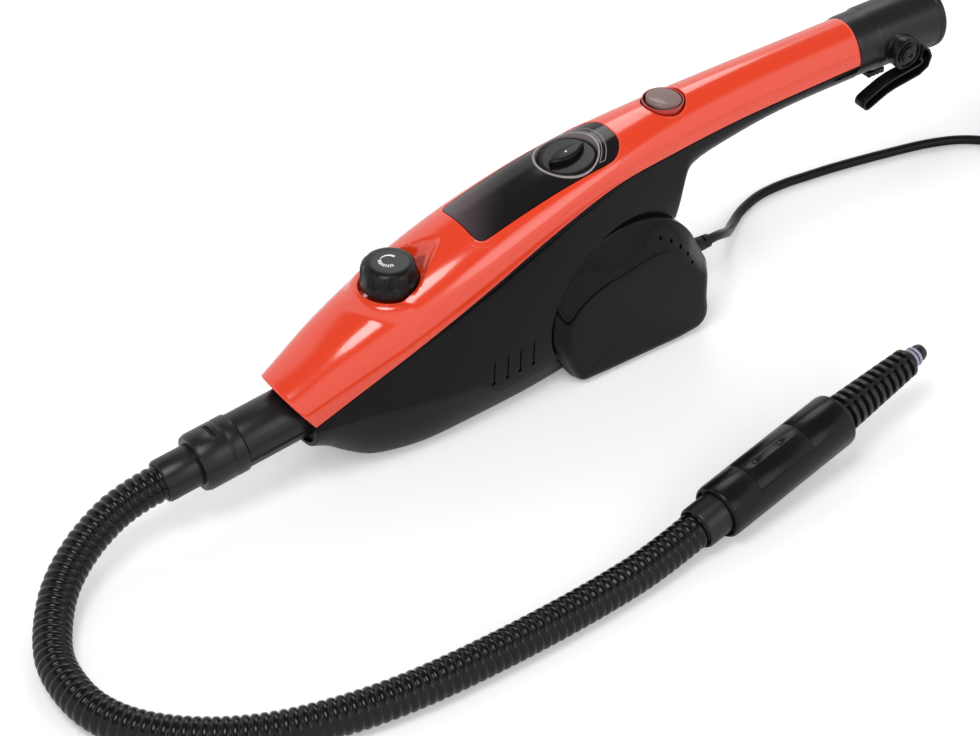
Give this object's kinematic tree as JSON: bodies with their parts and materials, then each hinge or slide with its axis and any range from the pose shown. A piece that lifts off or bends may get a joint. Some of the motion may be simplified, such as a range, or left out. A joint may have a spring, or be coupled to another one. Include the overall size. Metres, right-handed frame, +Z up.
{
  "type": "steam mop",
  "caption": "Hand-held steam cleaner unit with lift-off tank cap, steam dial, rocker switch, pole socket, corrugated steam hose, hose grip and mains lead.",
  "frame": {"origin": "on the resting plane under the belly cover, just ahead of the boiler pod, in the mid-plane of the body", "axes": "+X from the nose towards the pole socket, +Y away from the side that carries the cord hook, +Z up"},
  "size_m": [0.9514, 0.2841, 0.1777],
  "materials": {
    "cover_orange": "glossy",
    "shell_black": "glossy",
    "black_satin": "satin",
    "steel": "satin",
    "smoked_clear": "glossy",
    "seal_rubber": "matte",
    "inner_plastic": "matte",
    "pale_plastic": "glossy",
    "clear_boot": "glossy",
    "board_green": "matte",
    "cast_aluminium": "matte",
    "heater_steel": "matte",
    "mount_rubber": "matte",
    "coil_brass": "matte",
    "silicone": "satin",
    "hose_black": "satin",
    "lead_black": "satin"
  },
  "bodies": {
    "unit": {"top_cover": "cover_orange", "left_housing": "shell_black", "right_housing": "shell_black", "belly_cover": "black_satin", "left_boiler_cover": "shell_black", "right_boiler_cover": "shell_black", "pole_socket": "black_satin", "hook_screw": "steel", "latch_spring": "steel", "water_tank": "smoked_clear", "tank_outlet": "seal_rubber", "steam_control": "inner_plastic", "switch_frame": "pale_plastic", "switch_body": "inner_plastic", "circuit_board": "board_green", "boiler_casting": "cast_aluminium", "heater_element": "heater_steel", "boiler_mounts": "mount_rubber", "thermostat": "heater_steel", "thermal_fuse": "steel", "pump_body": "inner_plastic", "pump_coil": "coil_brass", "pump_mounts": "mount_rubber", "suction_tube": "silicone", "feed_tube": "silicone", "steam_pipe": "silicone", "spout": "black_satin", "spout_seal": "black_satin", "hose_collar": "black_satin", "hose_cuff": "black_satin", "steam_hose": "hose_black", "grip_cuff": "black_satin", "grip_body": "black_satin", "grip_panel": "black_satin", "grip_screws": "steel", "grip_nozzle": "black_satin", "nozzle_rings": "seal_rubber", "body_screws": "steel", "strain_relief": "lead_black", "cord_clamp": "inner_plastic", "power_lead": "lead_black", "lead_coil": "lead_black", "coil_tie": "lead_black", "plug_body": "lead_black", "plug_pins": "steel"},
    "dial": {"dial_knob": "black_satin", "dial_shaft": "steel"},
    "cap_carrier": {"cap_seal": "seal_rubber"},
    "cap": {"tank_cap": "black_satin"},
    "rocker": {"switch_rocker": "inner_plastic", "switch_boot": "clear_boot"},
    "hook": {"cord_hook": "black_satin"},
    "latch": {"tube_latch": "black_satin"}
  },
  "joints": [
    {"name": "dial_turn", "type": "hinge", "parent": "unit", "child": "dial", "pos_m": [-0.1145, 0, 0.118], "axis": [0, 0, 1], "range_deg": [0, 270]},
    {"name": "cap_lift", "type": "slide", "parent": "unit", "child": "cap_carrier", "axis": [-0.1711, 0, 0.9853], "range_m": [0, 0.03]},
    {"name": "cap_turn", "type": "hinge", "parent": "cap_carrier", "child": "cap", "pos_m": [0.02222, 0, 0.14824], "axis": [-0.1711, 0, 0.9853], "range_deg": [0, 90]},
    {"name": "switch_rock", "type": "hinge", "parent": "unit", "child": "rocker", "pos_m": [0.097, 0, 0.16619], "axis": [0, 1, 0], "range_deg": [-12, 0]},
    {"name": "hook_swing", "type": "hinge", "parent": "unit", "child": "hook", "pos_m": [0.282, 0, 0.1544], "axis": [0, 1, 0], "range_deg": [0, 180]},
    {"name": "tube_latch_press", "type": "slide", "parent": "unit", "child": "latch", "axis": [0, 0, 1], "range_m": [0, 0.0025], "stiffness_N_per_m": 300, "springref_m": -0.004, "deforming": ["latch_spring"]}
  ]
}
